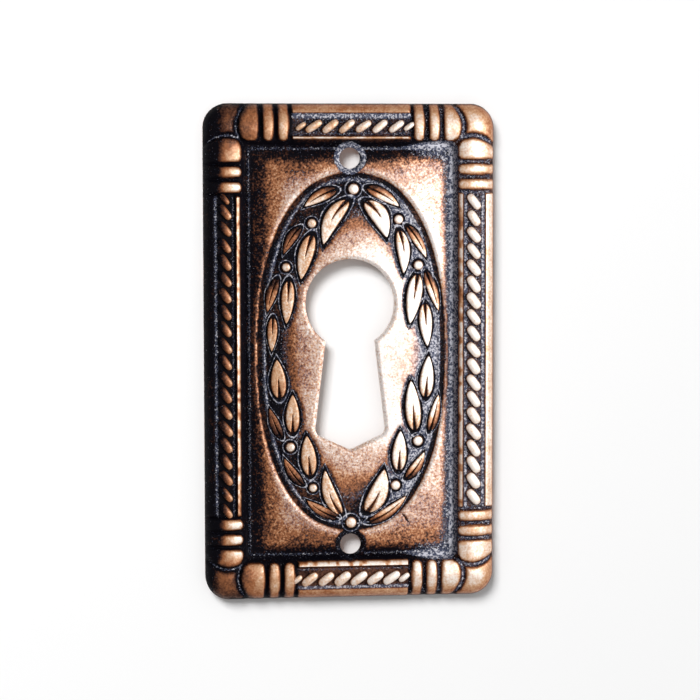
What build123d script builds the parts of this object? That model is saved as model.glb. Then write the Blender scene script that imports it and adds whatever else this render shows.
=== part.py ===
from build123d import *
import os
from math import atan2, cos, degrees, radians, sin, sqrt

# Keyhole escutcheon for a drawer or cabinet door, struck from one piece of sheet brass.
# A rolled frame with a rope border and ribbed corners surrounds a domed panel, which carries
# an oval laurel wreath round the keyhole. The back is hollow, as on any struck sheet.
# It is drawn lying on its back, x to the right, y up the plate and z out of the face, in
# millimetres, and is stood upright at the end with its back at y = 0 and its face towards -Y.

# Plate
plate_width = 31.75
plate_height = 54.0
corner_radius = 2.6
sheet_thickness = 0.7

# Rolled frame, whose crown runs round the centres of the plate's corners: its width, the height of
# the crown, the rise of the roll to it and the depth of the grooves across the roll
frame_width = 4.7
frame_height = 2.8
roll_rise = 1.1
groove_depth = 0.7

# Corner pad and the ribs beside it, measured along the edge from the plate's corner
groove_at_edge = 4.5
groove_at_waist = 3.45
groove_width = 0.55
first_rib_end = 5.9
rib_centres = (7.0, 8.65)
rib_width = 1.0
border_start = 9.85

# Rope border, measured inwards from the plate's edge
rope_inset = 2.25
channel_width = 2.5
channel_depth = 0.5
bead_groove_inset = 4.3
bead_groove_width = 0.45
lay_pitch = 1.8
lay_angle = 48.0
lay_length = 1.9
lay_width = 1.05
lay_taper = 20.0

# Domed panel and the cove that parts it from the frame
panel_height = 2.25
panel_side_fall = 0.45
cove_radius = 1.0
cove_inset = 5.0
cove_floor = 1.05

# Oval wreath bed, sunk into the panel
wreath_side_margin = 0.88
wreath_end_margin = 2.75
bed_height = 1.85
bed_side_fall = 0.6

# Laurel wreath: sprigs of two leaves sprout from an oval stem, at angles turned from its top
stem_side_gap = 2.0
stem_end_gap = 1.35
sprig_angles = (12.0, 41.5, 62.5)
sprig_reach = 14.0
end_leaf_angle = 75.3
end_leaf_length = 4.2
leaf_lean = 12.0
leaf_spread = 0.7
leaf_rise = 0.4
inner_leaf_length = 4.6
inner_leaf_width = 1.6
outer_leaf_length = 3.7
outer_leaf_width = 1.15
vein_width = 0.3
vein_depth = 0.25
vein_share = 0.55
berry_angles = (0.0, 37.0, 57.5)
berry_radius = 0.58
berry_rise = 0.5
berry_taper = 22.0

# Keyhole
key_head_radius = 4.88
key_head_rise = 5.3
key_neck_width = 5.54
key_neck_rise = 0.4
key_foot_width = 7.14
key_foot_drop = 8.65
key_nose_drop = 11.6
key_nose_radius = 1.5
key_corner_radius = 0.7

# Pin holes, countersunk from the face
pin_end_inset = 5.9
pin_hole_radius = 1.15
pin_sink_radius = 1.8

# Worked out from the sizes above
half_width = plate_width / 2
half_height = plate_height / 2
roll_spring = frame_height - roll_rise
panel_half_width = half_width - frame_width
panel_half_height = half_height - frame_width
panel_radius = (panel_half_width**2 + panel_side_fall**2) / (2 * panel_side_fall)
wreath_half_width = panel_half_width - wreath_side_margin
wreath_half_height = panel_half_height - wreath_end_margin
bed_radius = (wreath_half_width**2 + bed_side_fall**2) / (2 * bed_side_fall)
stem_half_width = wreath_half_width - stem_side_gap
stem_half_height = wreath_half_height - stem_end_gap
pin_rise = half_height - pin_end_inset
over = 2 * frame_height
up = (0, 0, 1)
sides = (
    (0, plate_width, half_height),
    (90, plate_height, half_width),
    (180, plate_width, half_height),
    (270, plate_height, half_width),
)


def on_side(turn, reach, shape):
    """Set a shape drawn on the bottom edge, inwards along +y, on one of the four sides."""
    return Rot(0, 0, turn) * Pos(0, -reach, 0) * shape


def arch(drop):
    """Section of the rolled frame, inwards by height, with its crown lowered by the given amount."""
    far = 2 * corner_radius
    roll = ThreePointArc((0, roll_spring), (corner_radius, frame_height - drop), (far, roll_spring))
    foot = Polyline((far, roll_spring), (far, 0), (0, 0), (0, roll_spring))
    return make_face([roll, *foot.edges()]) & Pos(frame_width / 2, 0) * Rectangle(frame_width, over)


def frame_hollow():
    """Section of the hollow behind the frame."""
    width = frame_width - 2 * sheet_thickness
    top = roll_spring - sheet_thickness / 2
    return Pos(frame_width / 2, top / 2) * Rectangle(width, top)


def bar_of(section, start, end):
    """A frame section drawn out along the bottom edge."""
    return Pos(start, 0, 0) * extrude(Plane.YZ * section, end - start)


def corner_of(section):
    """The frame section turned round the plate's corner, about the corner's own centre."""
    outer = section & Pos(corner_radius / 2, 0) * Rectangle(corner_radius, over)
    profile = Plane.YZ * Pos(-corner_radius, 0) * outer
    return revolve(profile, Axis((0, 0, 0), (0, 0, -1)), 90)


def ring_of(section):
    """The frame section taken round all four sides of the plate."""
    pieces = []
    for turn, length, reach in sides:
        run = length / 2 - corner_radius
        corner = Pos(-run, corner_radius, 0) * corner_of(section)
        pieces.append(on_side(turn, reach, bar_of(section, -run, run)))
        pieces.append(on_side(turn, reach, corner))
    return pieces[0].fuse(*pieces[1:])


def vault(crown, radius):
    """Solid under a cylinder that lies along the plate, with its crown at the given height."""
    return Pos(0, 0, crown - radius) * Rot(90, 0, 0) * Cylinder(radius, plate_height)


def inside_frame(shape):
    """The part of a shape that lies above the back and within the middle of the frame."""
    block = Box(plate_width - frame_width, plate_height - frame_width, over)
    return Pos(0, 0, over / 2) * block & shape


def coves(radius):
    """Rods that run where the panel meets the frame, for the cove and for the sheet under it."""
    rods = []
    for turn, length, reach in sides:
        rod = Pos(0, cove_inset, cove_floor + cove_radius) * Rot(0, 90, 0) * Cylinder(radius, length)
        rods.append(on_side(turn, reach, rod))
    return rods


def corner_curve(aside):
    """Curve across the frame beside a corner's groove, from the plate's edge to the panel."""
    return ThreePointArc(
        (groove_at_edge + aside, 0),
        (groove_at_waist + aside, frame_width / 2),
        (frame_width + aside, frame_width),
    )


def corner_pad():
    """Plain pad on the plate's corner, with the corner at the origin."""
    curve = corner_curve(-groove_width / 2)
    edges = Polyline(curve @ 1, (0, frame_width), (0, 0), curve @ 0)
    block = extrude(make_face([curve, *edges.edges()]), over, dir=up)
    block = block & block.mirror(Plane((0, 0, 0), (0, 0, 1), (1, -1, 0)))
    roll = arch(0)
    far = 2 * frame_width
    pad = Pos(corner_radius, corner_radius, 0) * corner_of(roll)
    pad = pad.fuse(bar_of(roll, corner_radius, far), Rot(0, 0, -90) * bar_of(roll, -far, -corner_radius))
    return block & pad


def corner_ribs():
    """Ribs beside the pad at the left end of the bottom edge, with the corner at the origin."""
    roll = arch(0)
    curve = corner_curve(groove_width / 2)
    edges = Polyline(curve @ 1, (first_rib_end, frame_width), (first_rib_end, 0), curve @ 0)
    outline = make_face([curve, *edges.edges()])
    ribs = [extrude(outline, over, dir=up) & bar_of(roll, 0, first_rib_end)]
    for centre in rib_centres:
        ribs.append(bar_of(roll, centre - rib_width / 2, centre + rib_width / 2))
    return ribs


def roll_level(inset):
    """Height of the roll's surface at a distance inwards from the plate's edge."""
    radius = (corner_radius**2 + roll_rise**2) / (2 * roll_rise)
    return frame_height - radius + sqrt(radius**2 - (inset - corner_radius) ** 2)


def border(run):
    """Roll with its rope channel and bead groove, along a run of the bottom edge."""
    section = arch(0)
    section -= Pos(rope_inset, frame_height - channel_depth + over / 2) * Rectangle(channel_width, over)
    groove = Rectangle(bead_groove_width, bead_groove_width, rotation=45)
    section -= Pos(bead_groove_inset, roll_level(bead_groove_inset)) * groove
    return bar_of(section, -run / 2, run / 2)


def lay():
    """One lay of the rope, a pointed pad with sloping sides."""
    end = lay_length / 2
    flank = lay_width / 2
    outline = Polyline(
        (-end, 0), (-flank, -flank), (flank, -flank), (end, 0), (flank, flank), (-flank, flank), close=True
    )
    return Rot(0, 0, lay_angle) * extrude(make_face(outline), channel_depth, dir=up, taper=lay_taper)


def rope(run):
    """Lays side by side along a run of the bottom edge."""
    count = round(run / lay_pitch)
    pitch = run / count
    first = pitch / 2 - run / 2
    floor = frame_height - channel_depth
    return [Pos(first + pitch * place, rope_inset, floor) * lay() for place in range(count)]


def bed_level(x):
    """Height of the wreath bed's surface at a distance from the plate's middle line."""
    return bed_height - bed_radius + sqrt(bed_radius**2 - x**2)


def leaf(length, width):
    """A laurel leaf along +x from its base, with the bed at z = 0."""
    edge = [(0.15 * length, 0.31 * width), (0.4 * length, width / 2), (0.72 * length, 0.37 * width)]
    other_edge = [(along, -aside) for along, aside in reversed(edge)]
    outline = make_face(Polyline((0, 0), *edge, (length, 0), *other_edge, close=True))
    return Pos(0, 0, -leaf_rise) * extrude(outline, 2 * leaf_rise, dir=up)


def veined_leaf(length, width):
    """A leaf with a vein that runs from its base along part of its length."""
    notch = Polyline((-vein_width / 2, 0), (0, -vein_depth), (vein_width / 2, 0), close=True)
    vein = extrude(Plane.YZ * make_face(notch), vein_share * length)
    return leaf(length, width) - Pos(0, 0, leaf_rise) * vein


def laid(shape, x, y, heading, length):
    """A leaf laid on the bed's slope from its base point; heading 0 points down the plate."""
    tip_x = x + length * sin(radians(heading))
    pitch = degrees(atan2(bed_level(tip_x) - bed_level(x), length))
    return Pos(x, y, bed_level(x)) * Rot(0, 0, heading - 90) * Rot(0, -pitch, 0) * shape


def stem_point(angle):
    """Point of the wreath's stem at an angle turned from the top, and the stem's heading there."""
    x = stem_half_width * sin(radians(angle))
    y = stem_half_height * cos(radians(angle))
    heading = degrees(atan2(stem_half_width * cos(radians(angle)), stem_half_height * sin(radians(angle))))
    return x, y, heading


def quarter_leaves():
    """Leaves of the upper right quarter of the wreath."""
    inner_leaf = veined_leaf(inner_leaf_length, inner_leaf_width)
    outer_leaf = leaf(outer_leaf_length, outer_leaf_width)
    end_leaf = veined_leaf(end_leaf_length, inner_leaf_width)
    leaves = []
    for angle in sprig_angles:
        x, y, _ = stem_point(angle)
        _, _, ahead = stem_point(angle + sprig_reach)
        aside_x = leaf_spread * cos(radians(ahead))
        aside_y = leaf_spread * sin(radians(ahead))
        leaves.append(laid(inner_leaf, x - aside_x, y - aside_y, ahead - leaf_lean, inner_leaf_length))
        leaves.append(laid(outer_leaf, x + aside_x, y + aside_y, ahead + leaf_lean, outer_leaf_length))
    x, y, heading = stem_point(end_leaf_angle)
    leaves.append(laid(end_leaf, x, y, heading, end_leaf_length))
    return leaves


def berry(angle):
    """A berry on the stem, with its foot below the bed."""
    x, y, _ = stem_point(angle)
    bead = extrude(RegularPolygon(berry_radius, 8), berry_rise, dir=up, taper=berry_taper)
    return Pos(x, y, bed_level(x) - 0.1) * bead


def keyhole():
    """Outline of the keyhole: a round head over a slot that flares to a blunt point."""
    slot = make_face(Polyline(
        (-key_neck_width / 2, key_head_rise),
        (-key_neck_width / 2, key_neck_rise),
        (-key_foot_width / 2, -key_foot_drop),
        (0, -key_nose_drop),
        (key_foot_width / 2, -key_foot_drop),
        (key_neck_width / 2, key_neck_rise),
        (key_neck_width / 2, key_head_rise),
        close=True,
    ))
    slot = fillet(slot.vertices().sort_by(Axis.Y)[1:3], key_corner_radius)
    slot = fillet(slot.vertices().sort_by(Axis.Y)[:1], key_nose_radius)
    return Pos(0, key_head_rise) * Circle(key_head_radius) + slot


def pin_hole():
    """Hole for a pin, countersunk from the face."""
    sink_start = panel_height - (pin_sink_radius - pin_hole_radius)
    profile = Polyline(
        (0, 0),
        (pin_hole_radius, 0),
        (pin_hole_radius, sink_start),
        (pin_sink_radius, panel_height),
        (pin_sink_radius, over),
        (0, over),
        close=True,
    )
    return Pos(0, pin_rise, 0) * revolve(Plane.XZ * make_face(profile), Axis.Z)


def both_ways(pieces, plane):
    """Pieces together with their mirror images."""
    return pieces + [piece.mirror(plane) for piece in pieces]


# Domed panel with the sunk bed of the wreath
oval = extrude(Ellipse(wreath_half_width, wreath_half_height), over)
panel = inside_frame(vault(panel_height, panel_radius)) - coves(cove_radius) - oval
bed = oval & vault(bed_height, bed_radius)

# Corner pads, ribs, borders and rope of the frame
ornaments = []
for turn, length, reach in sides:
    run = length - 2 * border_start
    ribs = both_ways([Pos(-length / 2, 0, 0) * rib for rib in corner_ribs()], Plane.YZ)
    pieces = [Pos(-length / 2, 0, 0) * corner_pad(), border(run), *ribs, *rope(run)]
    ornaments += [on_side(turn, reach, piece) for piece in pieces]

# Wreath
side_berries = [berry(angle) for angle in berry_angles[1:]]
quarter = quarter_leaves() + side_berries
wreath = both_ways(both_ways(quarter, Plane.YZ) + [berry(berry_angles[0])], Plane.XZ)

# The struck plate, its hollow back and its holes
plate = ring_of(arch(groove_depth)).fuse(panel, bed, *ornaments, *wreath)
under_panel = inside_frame(vault(bed_height - sheet_thickness, bed_radius))
under_panel = under_panel - coves(cove_radius + sheet_thickness)
plate = plate - ring_of(frame_hollow()) - under_panel
plate = plate - extrude(keyhole(), over) - both_ways([pin_hole()], Plane.XZ)

# Stood upright
escutcheon_plate = Rot(90, 0, 0) * plate
os.makedirs("parts", exist_ok=True)
export_step(escutcheon_plate, "parts/escutcheon_plate.step")
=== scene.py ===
"""Keyhole escutcheon of struck copper, with a rope border and a laurel wreath, on white paper."""

import math
from types import SimpleNamespace

import bpy
import numpy as np
from bpy.props import FloatProperty, FloatVectorProperty, IntProperty, PointerProperty
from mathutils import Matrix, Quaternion, Vector
from mathutils.geometry import delaunay_2d_cdt


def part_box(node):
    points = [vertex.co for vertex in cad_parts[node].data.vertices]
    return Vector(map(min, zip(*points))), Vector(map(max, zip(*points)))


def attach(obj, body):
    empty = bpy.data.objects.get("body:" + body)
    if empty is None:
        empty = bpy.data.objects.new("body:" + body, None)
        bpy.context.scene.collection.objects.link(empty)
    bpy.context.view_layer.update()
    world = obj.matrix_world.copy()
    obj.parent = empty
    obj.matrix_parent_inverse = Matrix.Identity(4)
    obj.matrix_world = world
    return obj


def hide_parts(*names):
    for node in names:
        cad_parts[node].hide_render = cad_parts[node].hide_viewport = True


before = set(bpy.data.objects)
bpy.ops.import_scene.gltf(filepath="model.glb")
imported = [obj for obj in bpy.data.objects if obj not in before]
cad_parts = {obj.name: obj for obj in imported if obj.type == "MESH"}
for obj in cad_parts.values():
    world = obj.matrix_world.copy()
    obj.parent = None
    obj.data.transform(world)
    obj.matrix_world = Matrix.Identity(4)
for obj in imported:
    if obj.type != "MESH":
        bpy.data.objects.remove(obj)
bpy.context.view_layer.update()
plate_low, plate_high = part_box("escutcheon_plate")

bl_info = {
    "name": "Keyhole Escutcheon",
    "version": (1, 0, 0),
    "blender": (4, 5, 0),
    "location": "View3D > Sidebar > Escutcheon",
    "description": "Builds a struck copper keyhole plate and the paper it is shown on",
    "category": "Object",
}


def length(name, millimetres, description):
    """A size property, written in millimetres and kept in metres."""
    return FloatProperty(
        name=name,
        description=description,
        default=millimetres / 1000,
        unit="LENGTH",
        precision=5,
    )


def angle(name, degrees, description):
    """An angle property, written in degrees and kept in radians."""
    return FloatProperty(name=name, description=description, default=math.radians(degrees), subtype="ANGLE")


def power(name, watts, description):
    """The power of a lamp."""
    return FloatProperty(name=name, description=description, default=watts, unit="POWER")


def amount(name, default, description):
    """A plain amount, at least 0 and at most 1."""
    return FloatProperty(
        name=name,
        description=description,
        default=default,
        subtype="FACTOR",
        min=0.0,
        max=1.0,
    )


def tally(name, default, description):
    """A whole number."""
    return IntProperty(name=name, description=description, default=default, subtype="UNSIGNED")


def colour(name, rgb, description):
    """A colour property in linear light."""
    return FloatVectorProperty(
        name=name,
        description=description,
        default=rgb,
        subtype="COLOR",
        size=3,
        min=0.0,
        max=1.0,
    )


# Sizes and colours that a user would change


class PlateSizes(bpy.types.PropertyGroup):
    """Sizes of the struck plate."""

    width: length("Width", (plate_high.x - plate_low.x) * 1000, "Width over the frame")
    height: length("Height", (plate_high.z - plate_low.z) * 1000, "Height over the frame")
    corner_radius: length("Corner radius", 2.6, "Radius of the plate's corners")
    sheet: length("Sheet", 0.7, "Thickness of the sheet")
    edge_height: length("Edge height", 1.25, "Height of the frame at the plate's edge")
    crown: length("Crown", 2.74, "Height of the frame's crown above the back")
    crown_inset: length("Crown inset", 2.6, "Distance of the crown from the edge")
    roll_radius: length("Roll radius", 3.62, "Radius of the frame's roll")
    groove_depth: length("Groove depth", 0.5, "Depth of the grooves beside the corner ribs")
    channel_floor: length("Channel floor", 2.1, "Height of the rope channel's floor")
    cove_floor: length("Cove floor", 1.15, "Height of the floor of the cove")
    panel_height: length("Panel height", 2.25, "Height of the panel in the middle")
    panel_fall: length("Panel fall", 0.65, "Fall of the panel towards its sides")
    wreath_width: length("Wreath half width", 10.4, "Half width of the oval bed")
    wreath_height: length("Wreath half height", 19.6, "Half height of the oval bed")
    wreath_shift: length("Wreath shift", 0.2, "How far the oval stands to the right of the middle")
    bed_height: length("Bed height", 1.85, "Height of the oval bed in the middle")
    bed_fall: length("Bed fall", 0.6, "Fall of the bed towards its sides")
    pin_rise: length("Pin rise", 21.1, "Distance of each pin hole from the middle")
    pin_radius: length("Pin radius", 1.15, "Radius of the pin holes")
    sink_radius: length("Sink radius", 1.8, "Radius of the countersinks")
    sink_floor: length("Sink floor", 1.6, "Height of the countersink's small end")


class KeyholeSizes(bpy.types.PropertyGroup):
    """Sizes of the keyhole."""

    head_radius: length("Head radius", 4.88, "Radius of the round head")
    head_rise: length("Head rise", 5.3, "Height of the head's centre above the middle")
    neck_width: length("Neck width", 5.54, "Width of the slot below the head")
    neck_rise: length("Neck rise", 0.4, "Height of the neck above the middle")
    foot_width: length("Foot width", 7.14, "Width of the slot at its foot")
    foot_drop: length("Foot drop", 8.65, "Distance of the foot below the middle")
    nose_drop: length("Nose drop", 11.6, "Distance of the slot's nose below the middle")
    corner_fillet: length("Corner fillet", 0.7, "Rounding of the foot's corners")
    nose_fillet: length("Nose fillet", 1.5, "Rounding of the nose")


class RopeSizes(bpy.types.PropertyGroup):
    """Sizes of the rope border."""

    level_lays: tally("Level lays", 6, "Whole lays of the top and bottom ropes")
    upright_lays: tally("Upright lays", 19, "Whole lays of the ropes at the sides")
    pitch: length("Pitch", 1.8, "Distance from one lay to the next")
    lay_length: length("Lay length", 2.0, "Length of one lay")
    lay_width: length("Lay width", 1.06, "Width of one lay")
    lay_rise: length("Lay rise", 0.6, "Height of a lay above the channel's floor")
    lean: angle("Lean", 36, "Angle of the lays to the rope's run")
    seed: tally("Seed", 7, "Seed of the lays' small differences")


class WreathSizes(bpy.types.PropertyGroup):
    """Sizes of the laurel wreath."""

    leaf_rise: length("Leaf rise", 0.42, "Height of the broad leaves above the bed")
    slim_rise: length("Slim leaf rise", 0.36, "Height of the slim leaves above the bed")
    berry_rise: length("Berry rise", 0.46, "Height of a berry above the bed")


class CopperFinish(bpy.types.PropertyGroup):
    """Colours of the antique finish, from the darkened recesses to the rubbed heights, and of the painted
    sheen, glints and highlights.
    """

    oxide: colour("Oxide", (0.0032, 0.0026, 0.0048), "Darkened copper in the recesses")
    umber: colour("Umber", (0.088, 0.026, 0.009), "Thin oxide")
    copper: colour("Copper", (0.360, 0.118, 0.033), "Copper that is little rubbed")
    rubbed: colour("Rubbed", (0.650, 0.375, 0.210), "Rubbed copper")
    # Polished copper made near white, partly a painted highlight
    polished_and_highlight: colour("Polished", (0.940, 0.840, 0.765), "Copper polished by wear")
    # A painted blue-grey sheen on the oxide round the glints
    painted_sheen: colour("Film", (0.080, 0.092, 0.150), "Blue-grey film round the bare grain")
    # Painted grey sheen in specks on the rubbed copper
    painted_haze: colour("Haze", (0.42, 0.40, 0.47), "Grey haze in specks on the rubbed copper")
    # Bare metal in the countersinks, and painted glints on the grain of the oxide
    bare: colour("Bare", (0.720, 0.720, 0.800), "Bare metal on the grain of the oxide")
    grain: length("Grain", 0.24, "Size of the surface's grain")


class StudioSettings(bpy.types.PropertyGroup):
    """Paper, lamps and camera."""

    paper: colour("Paper", (0.90, 0.90, 0.90), "Colour of the paper")
    key_power: power("Key lamp", 0.122, "Power of the key lamp")
    fill_power: power("Fill lamp", 1.42, "Power of the fill lamp")
    back_power: power("Back lamp", 4.0, "Power of the lamp behind")
    paper_power: power("Paper lamp", 6.1, "Power of the paper's lamp")
    sky_power: power("Sky lamp", 10.5, "Power of the broad lamp on the paper")
    room: amount("Room", 0.07, "Strength of the light all round")
    backdrop: amount("Backdrop", 0.8, "How pale the room looks behind the plate")
    lens: FloatProperty(name="Lens", description="Focal length", default=117.1, unit="CAMERA")
    distance: length("Distance", 250.0, "Distance of the camera from the plate")
    aside: angle("Aside", -6.8, "How far the camera stands to the right of straight on, below 0 to the left")
    above: angle("Above", 4.1, "How far the camera stands above straight on")
    roll: angle("Roll", -0.11, "How far the camera leans")


def in_millimetres(group):
    """A property group's numbers in millimetres, by name."""
    values = {}
    for name in group.__annotations__:
        value = getattr(group, name)
        if isinstance(value, float):
            values[name] = value * 1000
    return SimpleNamespace(**values)


# Shapes of the relief, in millimetres on the face: x to the right, y up and z out of the face


def ease(low, high, value):
    """Rises smoothly from 0 at low to 1 at high."""
    t = np.clip((value - low) / (high - low), 0, 1)
    return t * t * (3 - 2 * t)


def ridge(distance, half_width):
    """A smooth swell, 1 on a line and 0 at half_width from it."""
    return ease(half_width, 0, np.abs(distance))


def speckle(x, y, cell, seed):
    """Smooth random swells between -1 and 1, about one cell across."""
    lattice = np.random.default_rng(seed).uniform(-1, 1, (256, 256))
    along = x / cell + 128
    up = y / cell + 128
    i = np.floor(along).astype(int) % 255
    j = np.floor(up).astype(int) % 255
    s = along - np.floor(along)
    t = up - np.floor(up)
    s = s * s * (3 - 2 * s)
    t = t * t * (3 - 2 * t)
    low = lattice[i, j] * (1 - s) + lattice[i + 1, j] * s
    high = lattice[i, j + 1] * (1 - s) + lattice[i + 1, j + 1] * s
    return low * (1 - t) + high * t


def rounded_inset(x, y, half_width, half_height, radius):
    """Distance in from a rectangle with round corners."""
    across = np.abs(x) - (half_width - radius)
    up = np.abs(y) - (half_height - radius)
    outside = np.hypot(np.maximum(across, 0), np.maximum(up, 0))
    inside = np.minimum(np.maximum(across, up), 0)
    return radius - outside - inside


# The oval is a little fuller than an ellipse, whose power would be 2
OVAL_POWER = 2.28


def oval_inset(plate, x, y):
    """Distance in from the wreath's oval, exact on the oval and close to it nearby."""
    across = np.abs(x - plate.wreath_shift) / plate.wreath_width
    up = np.abs(y) / plate.wreath_height
    e = np.maximum((across**OVAL_POWER + up**OVAL_POWER) ** (1 / OVAL_POWER), 1e-6)
    slope_x = (across / e) ** (OVAL_POWER - 1) / plate.wreath_width
    slope_y = (up / e) ** (OVAL_POWER - 1) / plate.wreath_height
    return (1 - e) / np.maximum(np.hypot(slope_x, slope_y), 1e-6)


def signed_power(value, power):
    """A power of a number's size, with the number's sign."""
    return math.copysign(abs(value) ** power, value)


def oval_points(plate, inset, count=300):
    """A line round the wreath at an inset from its oval, counter-clockwise."""
    points = []
    for k in range(count):
        turn = 2 * math.pi * (k + 0.5) / count
        along = signed_power(math.cos(turn), 2 / OVAL_POWER)
        up = signed_power(math.sin(turn), 2 / OVAL_POWER)
        slope_x = signed_power(along, OVAL_POWER - 1) / plate.wreath_width
        slope_y = signed_power(up, OVAL_POWER - 1) / plate.wreath_height
        steep = math.hypot(slope_x, slope_y)
        x = plate.wreath_shift + plate.wreath_width * along - inset * slope_x / steep
        points.append((x, plate.wreath_height * up - inset * slope_y / steep))
    return points


# Steps round a corner of the plate, and round the keyhole's head
CORNER_STEPS = 14
HEAD_STEPS = 56


def outline_points(plate, step=0.3):
    """The plate's outline, counter-clockwise."""
    points = []
    w = plate.width / 2 - plate.corner_radius
    h = plate.height / 2 - plate.corner_radius
    for cx, cy, start in ((w, -h, -90), (w, h, 0), (-w, h, 90), (-w, -h, 180)):
        for k in range(CORNER_STEPS + 1):
            turn = math.radians(start + 90 * k / CORNER_STEPS)
            x = cx + plate.corner_radius * math.cos(turn)
            points.append((x, cy + plate.corner_radius * math.sin(turn)))
    return refined(points, step)


def refined(points, step):
    """A closed outline with points added so that no side is longer than step."""
    made = []
    for (x0, y0), (x1, y1) in zip(points, points[1:] + points[:1]):
        count = max(1, math.ceil(math.hypot(x1 - x0, y1 - y0) / step))
        for k in range(count):
            made.append((x0 + (x1 - x0) * k / count, y0 + (y1 - y0) * k / count))
    return made


def filleted(corner, before, after, radius, count=7):
    """Points of the round that replaces a corner between two straight sides."""
    c = Vector(corner)
    a = (Vector(before) - c).normalized()
    b = (Vector(after) - c).normalized()
    half = a.angle(b) / 2
    centre = c + (a + b).normalized() * radius / math.sin(half)
    first = c + a * radius / math.tan(half) - centre
    last = c + b * radius / math.tan(half) - centre
    points = []
    for k in range(count):
        points.append(tuple(centre + first.slerp(last, k / (count - 1))))
    return points


def keyhole_points(hole, step=0.22):
    """The keyhole's outline, counter-clockwise from the right of the neck."""
    neck = hole.neck_width / 2
    foot = hole.foot_width / 2
    # The slot's sides run on up into the head, and meet its circle where this turn starts
    spread = (foot - neck) / (hole.neck_rise + hole.foot_drop)
    reach = neck - spread * (hole.head_rise - hole.neck_rise)
    tilt = math.atan(spread)
    start = math.asin(reach * math.cos(tilt) / hole.head_radius) - math.pi / 2 + tilt
    points = []
    for k in range(HEAD_STEPS + 1):
        turn = start + (math.pi - 2 * start) * k / HEAD_STEPS
        x = hole.head_radius * math.cos(turn)
        points.append((x, hole.head_rise + hole.head_radius * math.sin(turn)))
    left_neck = (-neck, points[-1][1])
    left_foot = (-foot, -hole.foot_drop)
    right_foot = (foot, -hole.foot_drop)
    right_neck = (neck, points[0][1])
    nose = (0.0, -hole.nose_drop)
    points += filleted(left_foot, left_neck, nose, hole.corner_fillet)
    points += filleted(nose, left_foot, right_foot, hole.nose_fillet)
    points += filleted(right_foot, nose, right_neck, hole.corner_fillet)
    return refined(points, step)


def circle_points(x, y, radius, count=48):
    """A circle, counter-clockwise."""
    turns = [2 * math.pi * k / count for k in range(count)]
    return [(x + radius * math.cos(t), y + radius * math.sin(t)) for t in turns]


def from_segment(x, y, start, end):
    """Distance of each point from the straight line between two ends."""
    run_x = end[0] - start[0]
    run_y = end[1] - start[1]
    share = ((x - start[0]) * run_x + (y - start[1]) * run_y) / (run_x * run_x + run_y * run_y)
    share = np.clip(share, 0, 1)
    return np.hypot(x - start[0] - share * run_x, y - start[1] - share * run_y)


def away_from(x, y, loop):
    """Distance of each point from a closed outline, below 0 inside it."""
    best = np.full(x.shape, 1e9)
    inside = np.zeros(x.shape, bool)
    for start, end in zip(loop, loop[1:] + loop[:1]):
        best = np.minimum(best, from_segment(x, y, start, end))
        crosses = (start[1] > y) != (end[1] > y)
        rise = (end[1] - start[1]) or 1e-9
        inside ^= crosses & (x < start[0] + (end[0] - start[0]) * (y - start[1]) / rise)
    return np.where(inside, -best, best)


# Frame: its width, and how far along a bar the grooves beside the corner ribs lie and the rope's part starts
FRAME_WIDTH = 4.4
RIB_GROOVES = (6.18, 7.83, 9.48)
ROPE_START = (9.45, 9.75)

# Insets of the rope channel's outer edge and of the bead beside it, and the bead's width
CHANNEL_EDGE = (0.85, 1.2)
BEAD_INSET = 3.4
BEAD_WIDTH = 0.42

# Cove: radius of its corners, width up to the panel, and inset of the narrow ledge in it
COVE_CORNER = 0.7
COVE_WIDTH = 1.75
LEDGE_INSET = 0.45

# Oval: width of the step down at its edge, and inset of the thin ridge inside it
OVAL_STEP = 0.16
OVAL_RIDGE = 0.78

# Raised field round the keyhole: reach to the right, left, top and bottom, and rise of its middle
FIELD_REACH = (7.5, 6.6, 13.6, 15.0)
FIELD_RISE = 0.4

# Back: heights of the hollow behind the frame, of the sheet behind the cove and of the boss at a pin hole
BACK_HOLLOW = 1.35
BACK_COVE = 0.35
BACK_BOSS = 1.15

# The ribs were cut by hand, so they have drifted along the bars, away from the corner above 0.
# Keys: the bar is upright, on the right, at the top
RIB_DRIFT = {
    (True, True, True): 0.10,
    (True, False, True): 0.40,
    (True, True, False): 0.25,
    (True, False, False): -0.30,
    (False, True, True): -0.30,
    (False, False, True): -0.05,
    (False, True, False): -0.05,
    (False, False, False): 0.45,
}


# Ends of the nick in the panel
NICK = ((5.75, -17.85), (6.4, -18.75))

# Outline of a leaf: its fullness for its width, and the powers that round its base and draw out its tip
LEAF_FULLNESS = 1.16
LEAF_BASE_POWER = 0.48
LEAF_TIP_POWER = 0.78


def leaf_half(along):
    """Half width of a leaf at a share of the way from its base to its tip."""
    return LEAF_FULLNESS * along**LEAF_BASE_POWER * (1 - along) ** LEAF_TIP_POWER


def outward_side(base, tip):
    """1 where the keyhole lies to the right of the way from a leaf's base to its tip, or else -1."""
    return 1 if (tip[0] - base[0]) * base[1] - (tip[1] - base[1]) * base[0] > 0 else -1


def corner_line(u):
    """How far along a bar the curved groove round the corner pad lies, at an inset u."""
    outer = 3.45 + 1.1 * np.clip((2.5 - u) / 2.5, 0, 1) ** 2
    return outer + 0.4 * np.clip((u - 2.5) / 1.4, 0, 2) ** 2


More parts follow.
